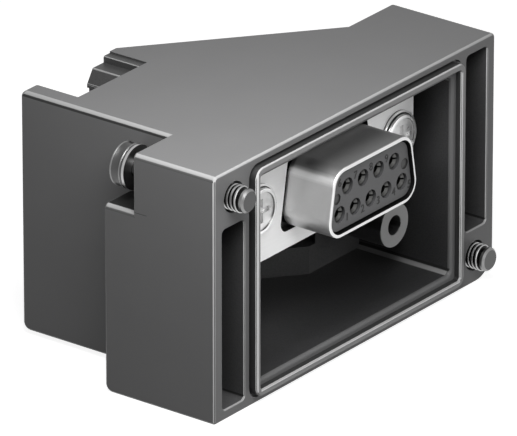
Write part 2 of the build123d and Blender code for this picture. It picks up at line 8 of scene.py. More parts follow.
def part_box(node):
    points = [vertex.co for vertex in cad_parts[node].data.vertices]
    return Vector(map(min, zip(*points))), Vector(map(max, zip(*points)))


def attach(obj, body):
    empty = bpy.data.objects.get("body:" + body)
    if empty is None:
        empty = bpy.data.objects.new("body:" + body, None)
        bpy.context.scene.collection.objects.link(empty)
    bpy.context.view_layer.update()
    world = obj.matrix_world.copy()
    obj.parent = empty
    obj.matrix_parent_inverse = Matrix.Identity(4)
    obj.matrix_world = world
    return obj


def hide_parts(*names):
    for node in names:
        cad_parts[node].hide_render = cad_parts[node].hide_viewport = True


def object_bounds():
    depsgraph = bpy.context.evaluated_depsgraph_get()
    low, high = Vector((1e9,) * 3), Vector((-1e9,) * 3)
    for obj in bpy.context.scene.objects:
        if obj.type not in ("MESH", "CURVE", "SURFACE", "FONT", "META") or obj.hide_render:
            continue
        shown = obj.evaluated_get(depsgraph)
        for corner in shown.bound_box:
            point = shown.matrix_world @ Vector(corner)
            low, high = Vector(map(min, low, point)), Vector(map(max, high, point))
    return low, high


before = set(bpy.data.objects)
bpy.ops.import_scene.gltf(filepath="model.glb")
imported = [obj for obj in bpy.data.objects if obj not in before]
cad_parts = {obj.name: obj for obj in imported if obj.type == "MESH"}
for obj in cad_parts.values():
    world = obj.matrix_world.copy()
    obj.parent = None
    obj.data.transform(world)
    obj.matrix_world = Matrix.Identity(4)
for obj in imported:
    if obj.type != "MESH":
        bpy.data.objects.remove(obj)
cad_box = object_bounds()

# Housing
# The real one is a single moulding in dark grey glass-filled nylon, with a fine satin grain from the mould.
# The hollow, pockets and steps keep a spark grain and are painted darker as painted shade, as is the notch
# shelf; the outer edges facing up and left carry painted highlights, with painted shadow under the roof's
# side edges, and the hollow's rounded corners and the boss end are painted lighter as painted light.

millimetre = 0.001
housing_grey = (0.125, 0.125, 0.126)
# Painted shade for the inner faces of the hollow, lighter deep in it.
inside_shade_grey = (0.034, 0.034, 0.035)
deep_shade_grey = (0.11, 0.11, 0.111)
# Painted shade for the pockets.
pocket_shade_grey = (0.065, 0.065, 0.066)
# Painted highlight for the hollow's rounded corners.
corner_highlight_grey = (0.24, 0.24, 0.24)
# Painted light for the boss's end face.
boss_highlight_grey = (0.4, 0.4, 0.4)
# Painted highlights for the outer edges.
upper_edge_highlight = (0.31, 0.31, 0.31)
upright_edge_highlight = (0.62, 0.62, 0.62)
# Painted shadow under the roof's side edges, behind the front block and on it.
rear_edge_shadow = (0.02, 0.02, 0.02)
shaded_edge = (0.08, 0.08, 0.08)
# Painted shade for the notch shelf.
shelf_shade_grey = (0.015, 0.015, 0.015)
# Painted shade for the stepped moulding, and painted highlight lines along its step edges.
step_shade_grey = (0.045, 0.045, 0.045)
step_edge_highlight = (0.25, 0.25, 0.25)
plastic_shine = 0.22
cloud_scale = 140
housing_grain = 0.16 * millimetre
housing_grain_depth = 0.012 * millimetre
shade_fade_depths = (3 * millimetre, 22 * millimetre)
step_highlight_reach = 0.12 * millimetre
slant_outward = (0.63515738, 0.77238274, 0.0)
hollow_box = ((-17.2, 0.44, -11.8), (17.2, 24.0, 11.65))
rim_box = ((-17.65, -0.1, -12.2), (17.65, 24.0, 12.05))
left_pocket = ((-23.7, 0.19, -13.1), (-19.7, 9.1, 7.8))
right_pocket = ((19.7, 0.19, -7.8), (23.7, 9.1, 13.1))
step_box = ((-8.6, 24.9, 11.0), (-4.49, 29.89, 14.2))
boss_end = ((9.9, 4.1, -8.0), (15.1, 4.3, -2.7))
boss_wall = ((9.9, 4.3, -8.0), (15.1, 12.5, -2.7))
shelf_box = ((-25.1, 9.0, 7.54), (-18.7, 14.8, 7.6))
front_block = ((-25.1, -0.1, -14.3), (-22.0, 14.8, 14.3))
step_corners = ((-5.6, 14.05), (-7.5, 13.3), (-8.5, 11.75))


def node_material(name):
    """New material with its nodes, its links and its shader."""
    material = bpy.data.materials.new(name)
    material.use_nodes = True
    nodes, links = material.node_tree.nodes, material.node_tree.links
    return material, nodes, links, nodes["Principled BSDF"]


def object_noise(nodes, links, place, scale, detail=3.0):
    """Noise that stays on the piece, with its scale in lumps for each metre."""
    noise = nodes.new("ShaderNodeTexNoise")
    noise.inputs["Scale"].default_value = scale
    noise.inputs["Detail"].default_value = detail
    links.new(place, noise.inputs["Vector"])
    return noise.outputs["Fac"]


def spread(nodes, links, value, low, high, start=0.3, end=0.7):
    """A value between start and end, brought between low and high."""
    ranged = nodes.new("ShaderNodeMapRange")
    ranged.inputs["From Min"].default_value = start
    ranged.inputs["From Max"].default_value = end
    ranged.inputs["To Min"].default_value = low
    ranged.inputs["To Max"].default_value = high
    links.new(value, ranged.inputs["Value"])
    return ranged.outputs["Result"]


def arithmetic(nodes, links, operation, first, second):
    """One sum on two values; each is a socket or a number."""
    step = nodes.new("ShaderNodeMath")
    step.operation = operation
    for slot, value in zip(step.inputs, (first, second)):
        if isinstance(value, (int, float)):
            slot.default_value = value
        else:
            links.new(value, slot)
    return step.outputs[0]


def blended(nodes, links, share, first, second):
    """The first colour, giving way to the second as the share rises; each is a socket or a colour."""
    mix = nodes.new("ShaderNodeMix")
    mix.data_type = "RGBA"
    links.new(share, mix.inputs["Factor"])
    for slot, colour in (("A", first), ("B", second)):
        if isinstance(colour, tuple):
            mix.inputs[slot].default_value = (*colour, 1)
        else:
            links.new(colour, mix.inputs[slot])
    return mix.outputs["Result"]


def shade_of(nodes, links, value, colour, change):
    """A colour that is a little darker and lighter where the noise is low and high."""
    darker, lighter = (tuple(c * (1 + sign * change) for c in colour) for sign in (-1, 1))
    return blended(nodes, links, value, darker, lighter)


def without(nodes, links, share, part):
    """A share with nothing left of it where the part is 1."""
    return arithmetic(nodes, links, "MULTIPLY", share, arithmetic(nodes, links, "SUBTRACT", 1.0, part))


def parts_of(nodes, links, vector):
    """The three parts of a vector, as sockets named X, Y and Z."""
    parts = nodes.new("ShaderNodeSeparateXYZ")
    links.new(vector, parts.inputs[0])
    return parts.outputs


def vector_sum(nodes, links, operation, first, second=None):
    """One sum on vectors; the second, where the sum takes one, is a socket or three numbers."""
    step = nodes.new("ShaderNodeVectorMath")
    step.operation = operation
    links.new(first, step.inputs[0])
    if isinstance(second, (tuple, Vector)):
        step.inputs[1].default_value = second
    elif second is not None:
        links.new(second, step.inputs[1])
    gives_number = operation in ("DISTANCE", "DOT_PRODUCT", "LENGTH")
    return step.outputs["Value" if gives_number else "Vector"]


def largest_part(nodes, links, vector):
    """The largest of a vector's three parts, without their signs."""
    parts = parts_of(nodes, links, vector_sum(nodes, links, "ABSOLUTE", vector))
    first = arithmetic(nodes, links, "MAXIMUM", parts["X"], parts["Y"])
    return arithmetic(nodes, links, "MAXIMUM", first, parts["Z"])


def within(nodes, links, place, box):
    """1 inside a box given in millimetres, 0 outside it."""
    low, high = (Vector(corner) * millimetre for corner in box)
    shift = vector_sum(nodes, links, "SUBTRACT", place, (low + high) / 2)
    share = vector_sum(nodes, links, "DIVIDE", shift, (high - low) / 2)
    return arithmetic(nodes, links, "LESS_THAN", largest_part(nodes, links, share), 1.0)


def from_axis(nodes, links, place, centre):
    """Distance from an axis along Y."""
    shift = vector_sum(nodes, links, "SUBTRACT", place, (centre[0], 0, centre[1]))
    across = vector_sum(nodes, links, "MULTIPLY", shift, (1, 0, 1))
    return vector_sum(nodes, links, "LENGTH", across)


def rounded_edge(nodes, links, normal):
    """1 on rounded edges that face up or left, toward the key light, where highlights are painted, and 0 on
    all flat faces.

    The flat faces are square to an axis, or slanted as the rear opening is. Edges that face back give 0 too.
    """
    slant_facing = vector_sum(nodes, links, "DOT_PRODUCT", normal, slant_outward)
    slant_facing = arithmetic(nodes, links, "ABSOLUTE", slant_facing, 0)
    facing = arithmetic(nodes, links, "MAXIMUM", largest_part(nodes, links, normal), slant_facing)
    rounded = spread(nodes, links, facing, 1.0, 0.0, 0.95, 0.99)
    faces = parts_of(nodes, links, normal)
    toward_light = arithmetic(nodes, links, "SUBTRACT", faces["Z"], faces["X"])
    toward_light = spread(nodes, links, toward_light, 0.0, 1.0, 0.1, 0.6)
    forward = spread(nodes, links, faces["Y"], 1.0, 0.0, 0.1, 0.3)
    toward_light = arithmetic(nodes, links, "MULTIPLY", toward_light, forward)
    return arithmetic(nodes, links, "MULTIPLY", toward_light, rounded)


def edge_colour(nodes, links, normal, upper, upright):
    """Colour of a painted edge highlight: dimmer where it faces up, because more light falls on it."""
    facing_up = spread(nodes, links, parts_of(nodes, links, normal)["Z"], 0.0, 1.0, 0.1, 0.5)
    return blended(nodes, links, facing_up, upright, upper)


def grain_bump(nodes, links, shader, height, depth, strength):
    """Bump of a given depth from a height between 0 and 1."""
    bump = nodes.new("ShaderNodeBump")
    bump.inputs["Distance"].default_value = depth
    bump.inputs["Strength"].default_value = strength
    links.new(height, bump.inputs["Height"])
    links.new(bump.outputs["Normal"], shader.inputs["Normal"])


def moulded_plastic(name, colour, roughness, grain, depth):
    """Moulded plastic with a fine grain, and a faint cloudiness where the melt flowed."""
    material, nodes, links, shader = node_material(name)
    shader.inputs["Specular IOR Level"].default_value = plastic_shine
    place = nodes.new("ShaderNodeTexCoord").outputs["Object"]
    clouds = object_noise(nodes, links, place, cloud_scale)
    links.new(shade_of(nodes, links, clouds, colour, 0.08), shader.inputs["Base Color"])
    links.new(spread(nodes, links, clouds, roughness - 0.03, roughness + 0.03), shader.inputs["Roughness"])
    grain_bump(nodes, links, shader, object_noise(nodes, links, place, 1 / grain), depth, 0.5)
    return material


def finish(node, material):
    """Gives a CAD node its material."""
    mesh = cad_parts[node].data
    mesh.materials.clear()
    mesh.materials.append(material)


housing_finish, nodes, links, shader = node_material("moulded_grey_nylon")
shader.inputs["Specular IOR Level"].default_value = plastic_shine
coordinates = nodes.new("ShaderNodeTexCoord").outputs
place = coordinates["Object"]
depth = parts_of(nodes, links, place)["Y"]
faces = parts_of(nodes, links, coordinates["Normal"])
clouds = object_noise(nodes, links, place, cloud_scale)
grain = object_noise(nodes, links, place, 1 / housing_grain)
in_hollow = within(nodes, links, place, hollow_box)
in_pockets = [within(nodes, links, place, box) for box in (left_pocket, right_pocket)]
on_boss_end = within(nodes, links, place, boss_end)
on_boss_wall = within(nodes, links, place, boss_wall)
on_steps = within(nodes, links, place, step_box)

# Inner faces get painted shade, paler deep in the hollow and under the boss.
inner = shade_of(nodes, links, grain, inside_shade_grey, 0.5)
deeper = spread(nodes, links, depth, 0.0, 1.0, *shade_fade_depths)
inner = blended(nodes, links, deeper, inner, shade_of(nodes, links, grain, deep_shade_grey, 0.3))
below = spread(nodes, links, faces["Z"], 1.0, 0.0, -0.9, 0.0)
below = arithmetic(nodes, links, "MULTIPLY", below, on_boss_wall)
inner = blended(nodes, links, below, inner, housing_grey)

# Where the inner faces are, and where the edges get painted highlights.
inside = in_hollow
for in_pocket in in_pockets:
    inside = arithmetic(nodes, links, "MAXIMUM", inside, in_pocket)
hidden = arithmetic(nodes, links, "MAXIMUM", inside, within(nodes, links, place, rim_box))
hidden = arithmetic(nodes, links, "MAXIMUM", hidden, on_steps)
inside = arithmetic(nodes, links, "SUBTRACT", inside, on_boss_end)
edge = rounded_edge(nodes, links, coordinates["Normal"])
outer_edge = without(nodes, links, edge, hidden)
# Painted highlight on the rounded edges inside the hollow, but not on the boss.
corner = arithmetic(nodes, links, "MULTIPLY", edge, in_hollow)
corner = without(nodes, links, corner, on_boss_wall)

# All faces, with painted shade in the pockets, on the stepped moulding and on the notch shelf, and painted
# light on the hollow's rounded corners, the boss end and the step lines.
flat = blended(nodes, links, inside, shade_of(nodes, links, clouds, housing_grey, 0.05), inner)
pocket_shade = shade_of(nodes, links, grain, pocket_shade_grey, 0.3)
for in_pocket in in_pockets:
    flat = blended(nodes, links, in_pocket, flat, pocket_shade)
flat = blended(nodes, links, corner, flat, corner_highlight_grey)
flat = blended(nodes, links, on_boss_end, flat, boss_highlight_grey)
# Painted shade on the stepped moulding, with painted highlight lines along its step edges.
flat = blended(nodes, links, on_steps, flat, shade_of(nodes, links, grain, step_shade_grey, 0.4))
for x, z in step_corners:
    reach = from_axis(nodes, links, place, (x * millimetre, z * millimetre))
    line = arithmetic(nodes, links, "LESS_THAN", reach, step_highlight_reach)
    flat = blended(nodes, links, arithmetic(nodes, links, "MULTIPLY", line, on_steps), flat, step_edge_highlight)
# Painted shade on the notch shelf.
shelf = shade_of(nodes, links, grain, shelf_shade_grey, 0.4)
flat = blended(nodes, links, within(nodes, links, place, shelf_box), flat, shelf)

# Painted highlights on the outer edges; painted shadow on the lower half of the roof's side edges, darkest
# behind the front block.
edge_highlight = edge_colour(nodes, links, coordinates["Normal"], upper_edge_highlight, upright_edge_highlight)
colour = blended(nodes, links, outer_edge, flat, edge_highlight)
facing_left = spread(nodes, links, faces["X"], 1.0, 0.0, -0.9, -0.84)
facing_up = spread(nodes, links, faces["Z"], 0.0, 1.0, 0.03, 0.12)
lower_half = arithmetic(nodes, links, "MULTIPLY", facing_left, facing_up)
dull = blended(nodes, links, within(nodes, links, place, front_block), rear_edge_shadow, shaded_edge)
links.new(blended(nodes, links, lower_half, colour, dull), shader.inputs["Base Color"])
links.new(spread(nodes, links, edge, 0.45, 0.32, 0.0, 1.0), shader.inputs["Roughness"])
grain_bump(nodes, links, shader, grain, housing_grain_depth, 0.4)
finish("housing", housing_finish)

# Face seal
# A frame of black rubber, moulded in one piece and pressed into the groove round the hollow.
# Its flanks are black; the narrow land that closes on the module is painted paler as painted light, except
# where it faces down, with painted highlights on its edges and along three runs.

rubber_black = (0.024, 0.024, 0.024)
# Painted light for the land, and painted highlights for the seal's edges.
land_lit_grey = (0.15, 0.15, 0.15)
upper_seal_highlight = (0.36, 0.36, 0.36)
upright_seal_highlight = (0.62, 0.62, 0.62)
land_depth = -0.72 * millimetre
flank_depth = -0.5 * millimetre
rubber_grain = 0.12 * millimetre
rubber_grain_depth = 0.004 * millimetre
# Boxes of the painted highlight lines along the land's runs.
seal_highlight_lines = (
    ((-18.7, -0.8, -12.6), (-18.25, 0.0, 12.6)),
    ((17.8, -0.8, -12.4), (18.12, 0.0, 12.0)),
    ((-17.8, -0.8, -12.72), (17.9, 0.0, -12.4)),
)

seal_finish, nodes, links, shader = node_material("seal_rubber")
coordinates = nodes.new("ShaderNodeTexCoord").outputs
place = coordinates["Object"]
depth = parts_of(nodes, links, place)["Y"]
faces = parts_of(nodes, links, coordinates["Normal"])
grain = object_noise(nodes, links, place, 1 / rubber_grain)
# Painted light: the land is painted paler, with painted highlight lines along its runs and on its proud
# edges; its downward faces stay black.
land = arithmetic(nodes, links, "LESS_THAN", depth, land_depth)
on_line = within(nodes, links, place, seal_highlight_lines[0])
for box in seal_highlight_lines[1:]:
    on_line = arithmetic(nodes, links, "MAXIMUM", on_line, within(nodes, links, place, box))
on_seal_highlight = arithmetic(nodes, links, "MULTIPLY", land, on_line)
proud = arithmetic(nodes, links, "LESS_THAN", depth, flank_depth)
edge = arithmetic(nodes, links, "MULTIPLY", proud, rounded_edge(nodes, links, coordinates["Normal"]))
forward = spread(nodes, links, faces["Y"], 1.0, 0.0, -0.3, -0.15)
edge = arithmetic(nodes, links, "MULTIPLY", edge, forward)
lit_land = blended(nodes, links, land, shade_of(nodes, links, grain, rubber_black, 0.3), land_lit_grey)
lit_land = blended(nodes, links, on_seal_highlight, lit_land, upright_seal_highlight)
downward = spread(nodes, links, faces["Z"], 1.0, 0.0, -0.35, -0.15)
lit_land = blended(nodes, links, downward, lit_land, rubber_black)
seal_highlight = edge_colour(nodes, links, coordinates["Normal"], upper_seal_highlight, upright_seal_highlight)
links.new(blended(nodes, links, edge, lit_land, seal_highlight), shader.inputs["Base Color"])
links.new(spread(nodes, links, grain, 0.36, 0.42), shader.inputs["Roughness"])
grain_bump(nodes, links, shader, grain, rubber_grain_depth, 0.4)
finish("face_seal", seal_finish)
plain_rubber = moulded_plastic("plain_rubber", rubber_black, 0.5, rubber_grain, rubber_grain_depth)

# Plate in front of the socket
# Cut from bright rolled steel sheet, held under the flange screws.
# The rolling leaves faint lines along the sheet.

plate_grey = (0.92, 0.92, 0.92)
cut_shade_grey = (0.012, 0.012, 0.012)
cut_depth = 0.05 * millimetre
rolling_grain = 0.3 * millimetre
rolling_stretch = (0.05, 1, 1)
metal_grain_depth = 0.001 * millimetre


def steel(name, colour, roughness, grain, stretch=(1, 1, 1), metal=1.0, back=None):
    """Metal with a fine finish; stretch draws the grain out into lines, and less metal means a matt film.

    Back gives a depth and a darker colour painted as painted shade on all that lies behind it.
    """
    material, nodes, links, shader = node_material(name)
    shader.inputs["Metallic"].default_value = metal
    place = nodes.new("ShaderNodeTexCoord").outputs["Object"]
    mapping = nodes.new("ShaderNodeMapping")
    mapping.inputs["Scale"].default_value = stretch
    links.new(place, mapping.inputs["Vector"])
    lines = object_noise(nodes, links, mapping.outputs["Vector"], 1 / grain)
    tone = shade_of(nodes, links, lines, colour, 0.04)
    if back:
        limit, dark = back
        behind = arithmetic(nodes, links, "GREATER_THAN", parts_of(nodes, links, place)["Y"], limit)
        tone = blended(nodes, links, behind, tone, dark)
    links.new(tone, shader.inputs["Base Color"])
    links.new(spread(nodes, links, lines, roughness - 0.02, roughness + 0.02), shader.inputs["Roughness"])
    grain_bump(nodes, links, shader, lines, metal_grain_depth, 0.25)
    return material


# The cut edges behind the plate's front are painted near black, as painted shade in the gap round the socket.
cut_shade = (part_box("mounting_plate")[0][1] + cut_depth, cut_shade_grey)
rolled = steel("bright_sheet", plate_grey, 0.5, rolling_grain, rolling_stretch, metal=0.2, back=cut_shade)
finish("mounting_plate", rolled)

# Shells of the socket
# Two halves drawn from tinned steel sheet; the front one is the D-shaped rim that guides the plug.
# Its upper bends carry a painted highlight; its top is painted darker as painted shade, more so towards the
# back, and its front rim is painted its own grey as painted light. Behind the plate's front and on its inward
# faces it is painted near black as painted shade.

tin_grey = (0.72, 0.72, 0.72)
# Painted shade for the top, darker towards the back.
top_shade_tin = (0.33, 0.33, 0.33)
back_shade_tin = (0.18, 0.18, 0.18)
# Painted highlight for the upper bends.
bend_highlight_tin = (0.98, 0.98, 0.98)
# Painted light for the front-facing rim.
rim_lit_tin = (0.66, 0.66, 0.66)
# Painted shade for the inward faces and the part behind the plate's front.
shadowed_tin = (0.02, 0.02, 0.02)
tin_mottle = 0.5 * millimetre
darker_depths = (-1.5 * millimetre, 3.5 * millimetre)
highlight_slope = 0.42
inward_limit = -0.5 * millimetre
flange_box = ((-15.6, 3.95, -1.2), (15.6, 5.6, 11.7))
socket_height = 5.25 * millimetre

shell_finish, nodes, links, shader = node_material("tinned_steel")
shader.inputs["Metallic"].default_value = 0.85
coordinates = nodes.new("ShaderNodeTexCoord").outputs
place = coordinates["Object"]
depth = parts_of(nodes, links, place)["Y"]
faces = parts_of(nodes, links, coordinates["Normal"])
sheen = object_noise(nodes, links, place, 1 / tin_mottle)
# Painted shade on the top, darker towards the back.
topside = spread(nodes, links, faces["Z"], 0.0, 1.0, 0.55, 0.75)
backward = spread(nodes, links, depth, 0.0, 1.0, *darker_depths)
# Painted highlight on the upper bends.
bend = arithmetic(nodes, links, "SUBTRACT", faces["Z"], highlight_slope)
bend = spread(nodes, links, arithmetic(nodes, links, "ABSOLUTE", bend, 0), 1.0, 0.0, 0.08, 0.2)
# The front-facing rim is painted its own grey by the way it faces, as painted light.
rim = spread(nodes, links, faces["Y"], 1.0, 0.0, -0.9, -0.5)
tin = shade_of(nodes, links, sheen, tin_grey, 0.03)
tin = blended(nodes, links, topside, tin, blended(nodes, links, backward, top_shade_tin, back_shade_tin))
tin = blended(nodes, links, bend, tin, bend_highlight_tin)
tin = blended(nodes, links, rim, tin, rim_lit_tin)
# Painted shade, near black, on the inward faces and behind the plate's front.
outward = vector_sum(nodes, links, "SUBTRACT", place, (0, 0, socket_height))
outward = vector_sum(nodes, links, "MULTIPLY", outward, (1, 0, 1))
facing_out = vector_sum(nodes, links, "DOT_PRODUCT", outward, coordinates["Normal"])
in_painted_shade = arithmetic(nodes, links, "LESS_THAN", facing_out, inward_limit)
in_painted_shade = arithmetic(nodes, links, "MAXIMUM", in_painted_shade, within(nodes, links, place, flange_box))
links.new(blended(nodes, links, in_painted_shade, tin, shadowed_tin), shader.inputs["Base Color"])
links.new(spread(nodes, links, sheen, 0.4, 0.44), shader.inputs["Roughness"])
finish("front_shell", shell_finish)
finish("rear_shell", steel("plain_tin", tin_grey, 0.3, tin_mottle))

# Insulator
# Two moulded blocks in dull dark grey hold the contacts; the front one has a hole over each contact.
# A small ring is moulded at each end of its face.

insulator_grey = (0.058, 0.058, 0.06)
ring_grey = (0.01, 0.01, 0.01)
mark_grey = (0.03, 0.03, 0.03)
insulator_grain = 0.1 * millimetre
insulator_grain_depth = 0.004 * millimetre
ring_radius = 0.5 * millimetre
ring_half_width = 0.13 * millimetre
mark_reach = 6.0 * millimetre
mark_height = 5.75 * millimetre
insulator_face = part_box("insulator_front")[0][1]

insulator_finish, nodes, links, shader = node_material("insulator_plastic")
place = nodes.new("ShaderNodeTexCoord").outputs["Object"]
grain = object_noise(nodes, links, place, 1 / insulator_grain)
colour = shade_of(nodes, links, grain, insulator_grey, 0.12)
for mark_side in (-mark_reach, mark_reach):
    away = vector_sum(nodes, links, "DISTANCE", place, (mark_side, insulator_face, mark_height))
    from_ring = arithmetic(nodes, links, "SUBTRACT", away, ring_radius)
    on_mark = arithmetic(nodes, links, "LESS_THAN", from_ring, ring_half_width)
    colour = blended(nodes, links, on_mark, colour, mark_grey)
    from_ring = arithmetic(nodes, links, "ABSOLUTE", from_ring, 0)
    on_ring = arithmetic(nodes, links, "LESS_THAN", from_ring, ring_half_width)
    colour = blended(nodes, links, on_ring, colour, ring_grey)
links.new(colour, shader.inputs["Base Color"])
links.new(spread(nodes, links, grain, 0.46, 0.54), shader.inputs["Roughness"])
grain_bump(nodes, links, shader, grain, insulator_grain_depth, 0.4)
for half in ("insulator_front", "insulator_rear"):
    finish(half, insulator_finish)

# Contact numbers
# Small plain figures stand on the insulator beside the holes, 1 to 5 below and 6 to 9 above.
# They are moulded with it and look dark.

figure_grey = (0.015, 0.015, 0.015)
figure_height = 0.9 * millimetre
figure_share = 0.7
figure_rise = 0.03 * millimetre
figure_side = 1.35 * millimetre
figure_shift = 0.75 * millimetre
figure_merge = 0.0005 * millimetre
figure_grain = 0.1 * millimetre
figure_grain_depth = 0.002 * millimetre
contact_pitch = 2.77 * millimetre
row_height = 1.42 * millimetre
lower_figures = socket_height - row_height - figure_shift
upper_figures = socket_height + row_height + figure_shift
figure_places = {}
for number in range(1, 6):
    figure_places[number] = ((number - 3) * contact_pitch + figure_side, lower_figures)
for number in range(6, 10):
    figure_places[number] = ((number - 7.5) * contact_pitch - figure_side, upper_figures)


def collect(name, bm, material, smooth_angle=35):
    """Makes a piece from a bmesh, with sharp edges kept sharp."""
    mesh = bpy.data.meshes.new(name)
    bm.to_mesh(mesh)
    bm.free()
    mesh.polygons.foreach_set("use_smooth", [True] * len(mesh.polygons))
    mesh.set_sharp_from_angle(angle=math.radians(smooth_angle))
    mesh.materials.append(material)
    piece = bpy.data.objects.new(name, mesh)
    bpy.context.scene.collection.objects.link(piece)
    return piece


figures = bmesh.new()
for number, (x, z) in figure_places.items():
    text = bpy.data.curves.new(f"figure_{number}", "FONT")
    text.body = str(number)
    text.size = figure_height / figure_share
    text.align_x = "CENTER"
    text.align_y = "CENTER"
    text.extrude = figure_rise
    source = bpy.data.objects.new(text.name, text)
    bpy.context.scene.collection.objects.link(source)
    bpy.context.view_layer.update()
    flat = bpy.data.meshes.new_from_object(source.evaluated_get(bpy.context.evaluated_depsgraph_get()))
    flat.transform(Matrix.Translation((x, insulator_face, z)) @ Matrix.Rotation(math.pi / 2, 4, "X"))
    figures.from_mesh(flat)
    bpy.data.objects.remove(source)
    bpy.data.meshes.remove(flat)
bmesh.ops.remove_doubles(figures, verts=figures.verts, dist=figure_merge)
figure_finish = moulded_plastic("figure_plastic", figure_grey, 0.5, figure_grain, figure_grain_depth)
pin_numbers = collect("pin_numbers", figures, figure_finish)
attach(pin_numbers, "housing")

# Contacts
# Nine turned sockets, plated pale, each slit at the mouth so that it grips its pin.

# The contacts' colour is painted dark, as painted shade inside the holes.
contact_shade_grey = (0.08, 0.08, 0.078)
plating_grain = 0.1 * millimetre

plated = steel("plated_contact", contact_shade_grey, 0.35, plating_grain)
for number in range(1, 10):
    finish(f"contact_{number}", plated)

# Flange screws and washers
# Zinc-plated steel screws with a rimmed head and a cross recess, each on a thin washer.
# Where head, washer and plate touch, a dark line is painted as painted shade; the dish inside the head's rim
# is painted darker as painted shade, with a darker ring at its edge.

zinc_grey = (0.78, 0.78, 0.78)
# Painted shade: dark lines where parts touch, and the darker dish with the ring at its edge.
zinc_shadow_dark = (0.08, 0.08, 0.08)
dish_shade_grey = (0.6, 0.6, 0.6)
dish_edge_shade = (0.25, 0.25, 0.25)
head_rim = 2.74 * millimetre
dish_rim = 2.2 * millimetre
shadow_line = 0.14 * millimetre
mottle_size = 0.7 * millimetre
steel_grain = 0.2 * millimetre
beyond = 1.0


def turned_metal(name, colour, roughness, centre, bands):
    """Turned metal with a fine mottle; each band gives two radii, two depths and its colour.

    A band that has no limit on a side gives a size beyond the whole part there.
    """
    material, nodes, links, shader = node_material(name)
    shader.inputs["Metallic"].default_value = 1.0
    place = nodes.new("ShaderNodeTexCoord").outputs["Object"]
    radius = from_axis(nodes, links, place, centre)
    depth = parts_of(nodes, links, place)["Y"]
    mottle = object_noise(nodes, links, place, 1 / mottle_size, 2.0)
    tone = shade_of(nodes, links, mottle, colour, 0.05)
    for inner, outer, near, far, shade in bands:
        share = arithmetic(nodes, links, "GREATER_THAN", radius, inner)
        for value, limit, test in (
            (radius, outer, "LESS_THAN"),
            (depth, near, "GREATER_THAN"),
            (depth, far, "LESS_THAN"),
        ):
            share = arithmetic(nodes, links, "MULTIPLY", share, arithmetic(nodes, links, test, value, limit))
        tone = blended(nodes, links, share, tone, shade_of(nodes, links, mottle, shade, 0.2))
    links.new(tone, shader.inputs["Base Color"])
    links.new(spread(nodes, links, mottle, roughness - 0.03, roughness + 0.03), shader.inputs["Roughness"])
    return material


def middle_of(node):
    """Centre of a node's front view."""
    low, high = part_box(node)
    return (low[0] + high[0]) / 2, (low[2] + high[2]) / 2


zinc = steel("zinc_plated_steel", zinc_grey, 0.3, steel_grain)
plate_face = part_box("mounting_plate")[0][1]
for side in ("left", "right"):
    centre = middle_of(f"flange_washer_{side}")
    washer_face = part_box(f"flange_washer_{side}")[0][1]
    # Painted shade in the head's dish, at its edge and at the head's foot.
    screw_bands = [
        (0, dish_rim, -beyond, beyond, dish_shade_grey),
        (dish_rim - 0.5 * shadow_line, dish_rim, -beyond, beyond, dish_edge_shade),
        (dish_rim, beyond, washer_face - shadow_line, beyond, zinc_shadow_dark),
    ]
    finish(f"flange_screw_{side}", turned_metal(f"zinc_screw_{side}", zinc_grey, 0.3, centre, screw_bands))
    # Painted shade under the head's rim and where the washer meets the plate.
    washer_bands = [
        (0, head_rim, -beyond, beyond, zinc_shadow_dark),
        (head_rim, beyond, plate_face - shadow_line, beyond, zinc_shadow_dark),
    ]
    finish(f"flange_washer_{side}", turned_metal(f"zinc_washer_{side}", zinc_grey, 0.3, centre, washer_bands))

# Captive screws
# Turned from steel: a chamfered tip, a rolled thread, a thin neck and a grooved head with a cross recess.
# Each turns and slides in its corner, with a washer under the head and a nylon ring on the neck.

screw_grey = (0.08, 0.08, 0.08)
# Painted light and shade for the turned bands of the captive screws.
tip_side_light = (0.24, 0.24, 0.24)
tip_chamfer_light = (0.22, 0.22, 0.22)
crest_highlight = (0.4, 0.4, 0.4)
root_shade = (0.015, 0.015, 0.015)
head_rim_light = (0.2, 0.2, 0.2)
# Painted highlight for the washer's front rim.
washer_highlight_grey = (0.4, 0.4, 0.4)
nylon_white = (0.62, 0.62, 0.60)
thread_pitch = 0.5 * millimetre
thread_crest = 1.47 * millimetre
thread_root = 1.2 * millimetre
thread_length = 5.1 * millimetre
ridge_half_width = 0.46 * thread_pitch
crest_half_width = 0.14 * thread_pitch
ridge_sink = 0.05 * millimetre
ridge_lead = 0.15 * millimetre
ridge_end_gap = 0.3 * millimetre
ridge_steps = 28
ridge_foot = 1.36 * millimetre
tip_radius = 1.33 * millimetre
tip_chamfer = 0.22 * millimetre
tip_length = 0.62 * millimetre
tip_slope = 0.1 * millimetre
tip_band_gap = 0.05 * millimetre
neck_radius = 1.05 * millimetre
head_height = 1.5 * millimetre
head_chamfer = 0.12 * millimetre
head_rim_height = 0.2 * millimetre
head_groove = 0.18 * millimetre
head_end_step = 0.05 * millimetre
head_end_slope = 0.17 * millimetre
head_band = 0.1 * millimetre
recess_depth = 0.5 * millimetre
recess_size = (2.8 * millimetre, 0.6 * millimetre)
turned_steps = 72
turned_merge = 0.001 * millimetre
turned_grain = 0.15 * millimetre
washer_highlight_depth = 0.3 * millimetre
nylon_grain = 0.15 * millimetre
nylon_grain_depth = 0.003 * millimetre


def lathe(profile, centre):
    """Closed turned shape from points of radius and depth, about an axis along Y."""
    bm = bmesh.new()
    points = [bm.verts.new((centre[0] + radius, depth, centre[1])) for radius, depth in profile]
    edges = [bm.edges.new(pair) for pair in zip(points, points[1:])]
    bmesh.ops.spin(
        bm,
        geom=points + edges,
        cent=(centre[0], 0, centre[1]),
        axis=(0, 1, 0),
        angle=2 * math.pi,
        steps=turned_steps,
        use_merge=True,
    )
    bmesh.ops.remove_doubles(bm, verts=bm.verts, dist=turned_merge)
    bmesh.ops.recalc_face_normals(bm, faces=bm.faces)
    return bm


